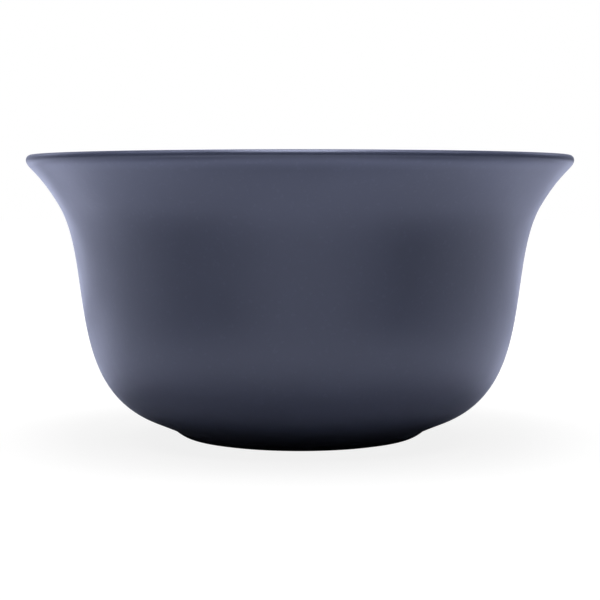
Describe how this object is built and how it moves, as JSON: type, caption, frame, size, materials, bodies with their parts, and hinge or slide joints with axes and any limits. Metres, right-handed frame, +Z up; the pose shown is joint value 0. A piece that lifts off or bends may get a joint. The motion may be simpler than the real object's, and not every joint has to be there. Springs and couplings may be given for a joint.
{
  "type": "shaving bowl",
  "caption": "Round shaving bowl with a flared, rounded lip, a full belly and a low foot with a soft grip ring; holds soap and lather for a brush.",
  "frame": {"origin": "centre of the plane that the bowl stands on, the flat underside of the grip ring", "axes": "+Z up along the turning axis; +X and +Y are interchangeable, because the bowl is round"},
  "size_m": [0.12, 0.12, 0.0624],
  "materials": {
    "matte_glaze": "satin",
    "grip_silicone": "matte"
  },
  "bodies": {
    "root": {"bowl": "matte_glaze", "foot_ring": "grip_silicone"}
  },
  "joints": []
}
